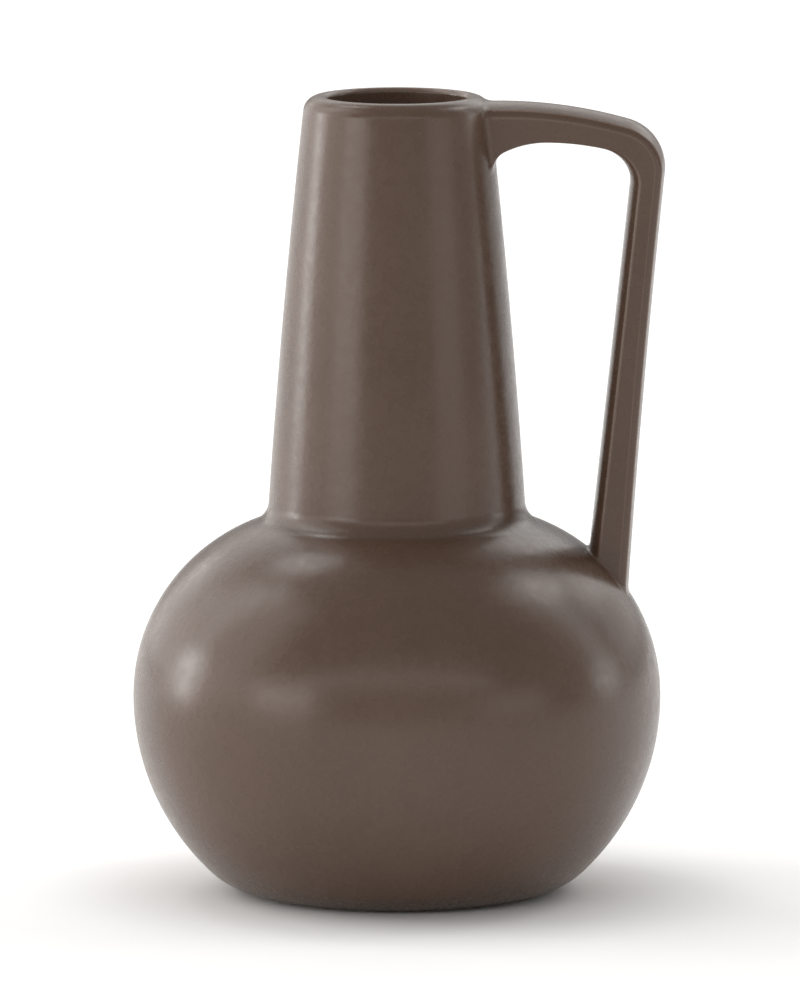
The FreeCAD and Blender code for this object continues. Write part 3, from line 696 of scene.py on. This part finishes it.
class Nodes:
    """Short calls for a material's nodes and links."""

    def __init__(self, name):
        self.material = bpy.data.materials.new(name)
        self.material.use_nodes = True
        self.tree = self.material.node_tree
        self.tree.nodes.clear()
        self.coordinates = self.add("ShaderNodeTexCoord").outputs["Object"]

    def add(self, kind, **values):
        node = self.tree.nodes.new(kind)
        for key, value in values.items():
            setattr(node, key, value)
        return node

    def link(self, source, target):
        self.tree.links.new(source, target)

    def put(self, node, name, value):
        if hasattr(value, "is_linked"):
            self.link(value, node.inputs[name])
        else:
            node.inputs[name].default_value = value

    def noise(self, scale, detail, roughness=0.55):
        node = self.add("ShaderNodeTexNoise")
        self.link(self.coordinates, node.inputs["Vector"])
        node.inputs["Scale"].default_value = scale
        node.inputs["Detail"].default_value = detail
        node.inputs["Roughness"].default_value = roughness
        return node.outputs["Fac"]

    def cells(self, scale):
        node = self.add("ShaderNodeTexVoronoi", feature="F1")
        self.link(self.coordinates, node.inputs["Vector"])
        node.inputs["Scale"].default_value = scale
        return node

    def ramp(self, value, low, high, start=0.0, end=1.0, smooth=True):
        node = self.add("ShaderNodeMapRange")
        node.interpolation_type = "SMOOTHSTEP" if smooth else "LINEAR"
        self.put(node, "Value", value)
        node.inputs["From Min"].default_value = low
        node.inputs["From Max"].default_value = high
        node.inputs["To Min"].default_value = start
        node.inputs["To Max"].default_value = end
        return node.outputs["Result"]

    def math(self, operation, first, second):
        node = self.add("ShaderNodeMath", operation=operation)
        self.put(node, 0, first)
        self.put(node, 1, second)
        return node.outputs[0]

    def mix(self, share, first, second):
        node = self.add("ShaderNodeMix", data_type="RGBA", blend_type="MIX")
        node.clamp_factor = True
        self.put(node, "Factor", share)
        for socket, value in ((6, first), (7, second)):
            if hasattr(value, "is_linked"):
                self.link(value, node.inputs[socket])
            else:
                node.inputs[socket].default_value = (*value, 1.0)
        return node.outputs[2]

    def patches(self, **noise_values):
        """Noise with its middle range spread out to 0 and 1."""
        return self.ramp(self.noise(**noise_values), low=0.3, high=0.7)

    def tint(self, base, amount, colour, share):
        """The base colour mixed towards another by a share of an amount."""
        return self.mix(self.math("MULTIPLY", amount, share), base, colour)

    def bump(self, height, strength, distance, normal=None):
        node = self.add("ShaderNodeBump")
        node.inputs["Strength"].default_value = strength
        node.inputs["Distance"].default_value = distance
        self.link(height, node.inputs["Height"])
        if normal is not None:
            self.link(normal, node.inputs["Normal"])
        return node.outputs["Normal"]

    def attribute(self, name):
        node = self.add("ShaderNodeAttribute")
        node.attribute_name = name
        return node.outputs["Fac"]

    def finish(self, **values):
        shader = self.add("ShaderNodeBsdfPrincipled")
        for name, value in values.items():
            self.put(shader, name.replace("_", " "), value)
        output = self.add("ShaderNodeOutputMaterial")
        self.link(shader.outputs["BSDF"], output.inputs["Surface"])
        return self.material


# Colours of the glaze and of the bare clay
GLAZE_DARK, GLAZE_LIGHT = (0.0833, 0.0482, 0.0318), (0.0969, 0.0574, 0.0387)
GLAZE_MOTTLE, GLAZE_GRAIN = (0.1105, 0.0666, 0.0456), (0.0680, 0.0390, 0.0262)
GLAZE_THIN_WITH_HIGHLIGHT, GLAZE_POOLED = (0.1750, 0.1130, 0.0810), (0.0560, 0.0345, 0.0240)
GLAZE_SPECK = (0.0187, 0.0106, 0.0075)
GLAZE_ROUGHNESS, CLOUD_ROUGHNESS = 0.255, 0.03
CLAY_DARK, CLAY_LIGHT = (0.36, 0.26, 0.185), (0.43, 0.325, 0.24)
CLAY_SAND, CLAY_GRIT = (0.27, 0.19, 0.135), (0.11, 0.075, 0.055)


def glaze_material():
    """Satin taupe brown glaze: soft mottling, rare dark specks, and edges lightened for thinner
    glaze and as painted highlight lines.
    """
    net = Nodes("satin_glaze")
    cloud = net.patches(scale=24.0, detail=3.0)
    mottle = net.patches(scale=260.0, detail=5.0, roughness=0.6)
    grain = net.patches(scale=1500.0, detail=2.0)
    base = net.mix(cloud, GLAZE_DARK, GLAZE_LIGHT)
    base = net.tint(base, mottle, GLAZE_MOTTLE, share=0.22)
    base = net.tint(base, grain, GLAZE_GRAIN, share=0.22)
    # Painted highlight: edges are tinted lighter, partly for thinner glaze and partly as painted
    # highlight lines; where glaze gathers they are tinted darker.
    edge = net.attribute("thin_glaze_highlight_and_pool")
    base = net.tint(base, net.ramp(edge, low=0.1, high=1.6), GLAZE_THIN_WITH_HIGHLIGHT, share=0.95)
    base = net.tint(base, net.ramp(edge, low=-0.1, high=-1.0), GLAZE_POOLED, share=0.45)
    cells = net.cells(scale=300.0)
    rare = net.ramp(cells.outputs["Color"], low=0.93, high=0.95, smooth=False)
    speck = net.math("MULTIPLY", net.ramp(cells.outputs["Distance"], low=0.16, high=0.08), rare)
    base = net.tint(base, speck, GLAZE_SPECK, share=0.75)
    rough = net.ramp(mottle, low=0.0, high=1.0, start=-0.02, end=0.03)
    rough = net.math("ADD", rough, GLAZE_ROUGHNESS)
    rough = net.math("ADD", rough, net.math("MULTIPLY", cloud, CLOUD_ROUGHNESS))
    normal = net.bump(net.noise(scale=75.0, detail=2.0), strength=0.14, distance=0.0010)
    normal = net.bump(
        net.noise(scale=700.0, detail=2.0), strength=0.10, distance=0.00025, normal=normal,
    )
    pit = net.cells(scale=420.0)
    pit_rare = net.ramp(pit.outputs["Color"], low=0.95, high=0.96, smooth=False)
    pit_depth = net.ramp(pit.outputs["Distance"], low=0.14, high=0.04)
    pit_depth = net.math("MULTIPLY", pit_depth, pit_rare)
    pitted = net.math("SUBTRACT", 1.0, pit_depth)
    normal = net.bump(pitted, strength=0.6, distance=0.00025, normal=normal)
    return net.finish(Base_Color=base, Roughness=rough, Normal=normal, IOR=1.5)


def clay_material():
    """Dry bare stoneware of the foot ring, wiped clean, with sandy grain."""
    net = Nodes("bare_clay")
    cloud = net.patches(scale=60.0, detail=3.0)
    sand = net.patches(scale=2200.0, detail=3.0, roughness=0.7)
    base = net.mix(cloud, CLAY_DARK, CLAY_LIGHT)
    base = net.tint(base, sand, CLAY_SAND, share=0.5)
    grit = net.cells(scale=900.0)
    near = net.ramp(grit.outputs["Distance"], low=0.28, high=0.1)
    dark = net.math("MULTIPLY", near, net.ramp(grit.outputs["Color"], low=0.86, high=0.9))
    base = net.tint(base, dark, CLAY_GRIT, share=0.6)
    normal = net.bump(sand, strength=0.5, distance=0.0002)
    rough = net.ramp(sand, low=0, high=1, start=0.8, end=0.92)
    return net.finish(Base_Color=base, Roughness=rough, Normal=normal)


glaze = glaze_material()
clay = clay_material()


# The pot's sections

ring_angle = -math.acos((RING_OUTER - FOOT_C[0]) / FOOT_CURVE)
ring_edge = on_circle(FOOT_C, FOOT_CURVE, ring_angle)
dome_in, bowl_in = SHOULDER_CURVE - WALL, BOWL_CURVE - WALL
neck_in, fillet_in = NECK_CURVE - WALL, FILLET_CURVE + WALL
joint_top, joint_inner = EQUATOR + STEP, BELLY_RADIUS - STEP
joint_angle = math.asin(STEP / dome_in)
joint_wall = on_circle(DOME_C, dome_in, joint_angle)
flange_angle = math.acos((FLANGE - DOME_C[0]) / SHOULDER_CURVE)
flange_top = on_circle(DOME_C, SHOULDER_CURVE, flange_angle)
plug = FLANGE - STEP
plug_angle = math.acos((plug - DOME_C[0]) / dome_in)
plug_foot = on_circle(DOME_C, dome_in, plug_angle)
lip_angle = math.asin((LIP_BASE - NECK_C[1]) / NECK_CURVE)
lip_joint = on_circle(NECK_C, NECK_CURVE, lip_angle)
tongue = NECK_TOP - STEP
slope_base = (level(NECK_C, neck_in, SLOPE_BASE), SLOPE_BASE)
slope_share = (LIP_BASE + STEP - SLOPE_BASE) / (THROAT_BASE - SLOPE_BASE)
slope_cut = (slope_base[0] + (MOUTH - slope_base[0]) * slope_share, LIP_BASE + STEP)
rim = MOUTH + MOUTH_ROUNDING

sections = {
    "belly_bowl": [
        line_run((0, RECESS), (RING_INNER, RECESS)),
        *blade((RING_INNER, RECESS), (RING_INNER, RING_TOP), (RING_OUTER, RING_TOP), ring_edge),
        arc_run(FOOT_C, FOOT_CURVE, ring_angle, FOOT_END, step=0.8),
        arc_run(BOWL_C, BOWL_CURVE, FOOT_END, 0, step=1.2),
        *blade((BELLY_RADIUS, EQUATOR), (joint_inner, EQUATOR), (joint_inner, joint_top),
               joint_wall),
        arc_run(DOME_C, dome_in, joint_angle, 0, -1),
        arc_run(BOWL_C, bowl_in, 0, CORNER_END, -1, step=2.5),
        arc_run(CORNER_C, HOLLOW_CORNER, CORNER_END, -math.pi / 2, -1, step=1.5),
        line_run((CORNER_C[0], FLOOR), (0, FLOOR)),
    ],
    "foot_ring": [
        line_run((RING_INNER + RING_ROUNDING, 0), (FOOT_RADIUS, 0), step=1.2),
        arc_run(FOOT_C, FOOT_CURVE, -math.pi / 2, ring_angle, step=0.4),
        *blade(ring_edge, (RING_OUTER, RING_TOP), (RING_INNER, RING_TOP)),
        line_run((RING_INNER, RING_TOP), (RING_INNER, RING_ROUNDING)),
        arc_run(
            (RING_INNER + RING_ROUNDING, RING_ROUNDING), RING_ROUNDING,
            math.pi, 1.5 * math.pi, step=0.15,
        ),
    ],
    "shoulder_dome": [
        arc_run(DOME_C, SHOULDER_CURVE, 0, flange_angle, step=1.2),
        *blade(flange_top, (FLANGE, SEAT), (plug, SEAT), plug_foot),
        arc_run(DOME_C, dome_in, plug_angle, joint_angle, -1, step=2.5),
        *blade(joint_wall, (joint_inner, joint_top), (joint_inner, EQUATOR),
               (BELLY_RADIUS, EQUATOR)),
    ],
    "neck": [
        arc_run(DOME_C, SHOULDER_CURVE, flange_angle, DOME_END, step=0.8),
        arc_run(FILLET_C, FILLET_CURVE, DOME_END + math.pi, NECK_START + math.pi, -1, step=0.3),
        arc_run(NECK_C, NECK_CURVE, NECK_START, lip_angle, step=1.5),
        *blade(lip_joint, (tongue, LIP_BASE), (tongue, LIP_BASE + STEP), slope_cut),
        line_run(slope_cut, slope_base),
        arc_run(NECK_C, neck_in, bearing(NECK_C, slope_base), NECK_START, -1, step=2.5),
        arc_run(FILLET_C, fillet_in, NECK_START + math.pi, DOME_END + math.pi, step=0.8),
        arc_run(DOME_C, dome_in, DOME_END, plug_angle, -1),
        *blade(plug_foot, (plug, SEAT), (FLANGE, SEAT), flange_top),
    ],
    "lip": [
        arc_run(NECK_C, NECK_CURVE, lip_angle, LIP_START),
        arc_run(LIP_C, LIP_ROUNDING, LIP_START, math.pi / 2, step=0.25),
        line_run((LIP_C[0], HEIGHT), (rim, HEIGHT)),
        arc_run((rim, THROAT_TOP), MOUTH_ROUNDING, math.pi / 2, math.pi, step=0.15),
        line_run((MOUTH, THROAT_TOP), (MOUTH, THROAT_BASE), step=1.0),
        line_run((MOUTH, THROAT_BASE), slope_cut, step=1.0),
        *blade(slope_cut, (tongue, LIP_BASE + STEP), (tongue, LIP_BASE), lip_joint),
    ],
}
for node, runs in sections.items():
    slot_name, material = ("bare_clay", clay) if node == "foot_ring" else ("glaze", glaze)
    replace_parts(turned(f"{node}_wall", runs, material, thinning_highlight_and_pool=pot_thinning_highlight_and_pool), node)
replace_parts(make_handle(glaze), "handle")


# Studio, in metres
LIGHT_DISTANCE, LIGHT_AIM, LIGHT_TINT = 2.5, 0.12, (1.0, 0.98, 0.955)
WASH_PLACE, WASH_SIZE, WASH_RADIANCE = (0, 5.2, 2.5), (8.0, 6.0), 1.0
ROOM_STRENGTH = 0.42
FLOOR_RADIUS, FLOOR_SIDES, FLOOR_DROP = 12, 64, 0.0001
FLOOR_PALE = (0.88, 0.88, 0.88, 1)
WHITE = (1, 1, 1, 1)
# The floor's glow is painted light that whitens it away from the jug: it starts at the first
# distance from the axis and is full at the second, so near the jug the floor has only its lamp light
# and shadow.
GLOW_START, GLOW_FULL, GLOW_STRENGTH = 0.055, 0.125, 0.22


def area_light(name, azimuth, elevation, width, height, radiance):
    """A soft light that faces the jug; azimuth 0 is the camera's side and 90 is +X."""
    around, up = math.radians(azimuth), math.radians(elevation)
    level_part = math.cos(up)
    toward = Vector((math.sin(around) * level_part, -math.cos(around) * level_part, math.sin(up)))
    place = Vector((0, 0, LIGHT_AIM)) + toward * LIGHT_DISTANCE
    place_light(name, place, toward, width, height, radiance)


def place_light(name, place, toward, width, height, radiance):
    """A rectangular light of one radiance that shines against toward, unseen by the camera."""
    light = bpy.data.lights.new(name, "AREA")
    light.shape = "RECTANGLE"
    light.size, light.size_y = width, height
    light.energy = radiance * math.pi * width * height
    light.color = LIGHT_TINT
    lamp = bpy.data.objects.new(name, light)
    lamp.location = place
    lamp.rotation_mode = "QUATERNION"
    lamp.rotation_quaternion = (-toward).to_track_quat("-Z", "Y")
    lamp.visible_camera = False
    bpy.context.scene.collection.objects.link(lamp)


# Each soft light's azimuth, elevation, spread across, spread up and down, and radiance
LIGHTS = {
    "left_low": (-106, 6, 15, 17, 6.5),
    "left_tall": (-105, 34, 15, 48, 2.6),
    "left_wall": (-82, 29, 30, 58, 1.35),
    "left_back": (-120, 24, 15, 50, 1.6),
    "back_left": (-142, 11, 30, 22, 1.4),
    "back_left_high": (-138, 57, 22, 15, 4.3),
    "front_left": (-52, 8, 30, 16, 3.0),
    "front_card": (0, 24, 88, 9, 1.4),
    "front_right": (52, 5, 30, 10, 1.1),
    "right_low": (105, 5, 15, 10, 3.0),
    "right_tall": (105, 34, 15, 48, 1.35),
    "back_right_high": (118, 46, 20, 15, 3.4),
    "back_right": (140, 26, 40, 45, 0.6),
}
for light_name, (azimuth, elevation, across, up, radiance) in LIGHTS.items():
    width = 2 * LIGHT_DISTANCE * math.tan(math.radians(across / 2))
    width *= math.cos(math.radians(elevation))
    height = 2 * LIGHT_DISTANCE * math.tan(math.radians(up / 2))
    area_light(light_name, azimuth, elevation, width, height, radiance)
place_light(
    "back_wash", Vector(WASH_PLACE), Vector((0, 0, 1)), *WASH_SIZE, WASH_RADIANCE,
)

world = bpy.data.worlds.new("studio")
bpy.context.scene.world = world
world.use_nodes = True
sky = world.node_tree.nodes["Background"]
sky.inputs["Color"].default_value = WHITE
sky.inputs["Strength"].default_value = ROOM_STRENGTH

floor_mesh = bpy.data.meshes.new("studio_floor")
corners = [
    (FLOOR_RADIUS * math.cos(angle), FLOOR_RADIUS * math.sin(angle), -FLOOR_DROP)
    for angle in np.arange(FLOOR_SIDES) * TURN / FLOOR_SIDES
]
floor_mesh.from_pydata(corners, [], [list(range(FLOOR_SIDES))])
floor = bpy.data.objects.new("studio_floor", floor_mesh)
bpy.context.scene.collection.objects.link(floor)
paper = Nodes("pale_paper")
from_axis = paper.add("ShaderNodeVectorMath", operation="LENGTH")
paper.link(paper.coordinates, from_axis.inputs[0])
glow = paper.ramp(from_axis.outputs["Value"], GLOW_START, GLOW_FULL, 0.0, GLOW_STRENGTH)
floor_mesh.materials.append(paper.finish(
    Base_Color=FLOOR_PALE, Roughness=0.9, Emission_Color=WHITE, Emission_Strength=glow,
))


# Camera: its lens and sensor in millimetres, its distance and the height it faces in metres
LENS, SENSOR, CAMERA_DISTANCE, CAMERA_AIM = 518.3, 36.0, 4.499, 0.125
SHIFT_ACROSS, SHIFT_UP = 0.0031, -0.0066
CAMERA_LIFT = math.radians(7.84)

camera_data = bpy.data.cameras.new("camera")
camera = bpy.data.objects.new("camera", camera_data)
bpy.context.scene.collection.objects.link(camera)
camera_data.sensor_width = SENSOR
camera_data.lens = LENS
camera_data.shift_x, camera_data.shift_y = SHIFT_ACROSS, SHIFT_UP
camera_data.clip_start, camera_data.clip_end = 0.1, 100
back = Vector((0, -math.cos(CAMERA_LIFT), math.sin(CAMERA_LIFT)))
camera.location = Vector((0, 0, CAMERA_AIM)) + back * CAMERA_DISTANCE
camera.rotation_mode = "QUATERNION"
camera.rotation_quaternion = (-back).to_track_quat("-Z", "Y")
bpy.context.scene.camera = camera

bpy.context.scene.view_settings.view_transform = "Standard"
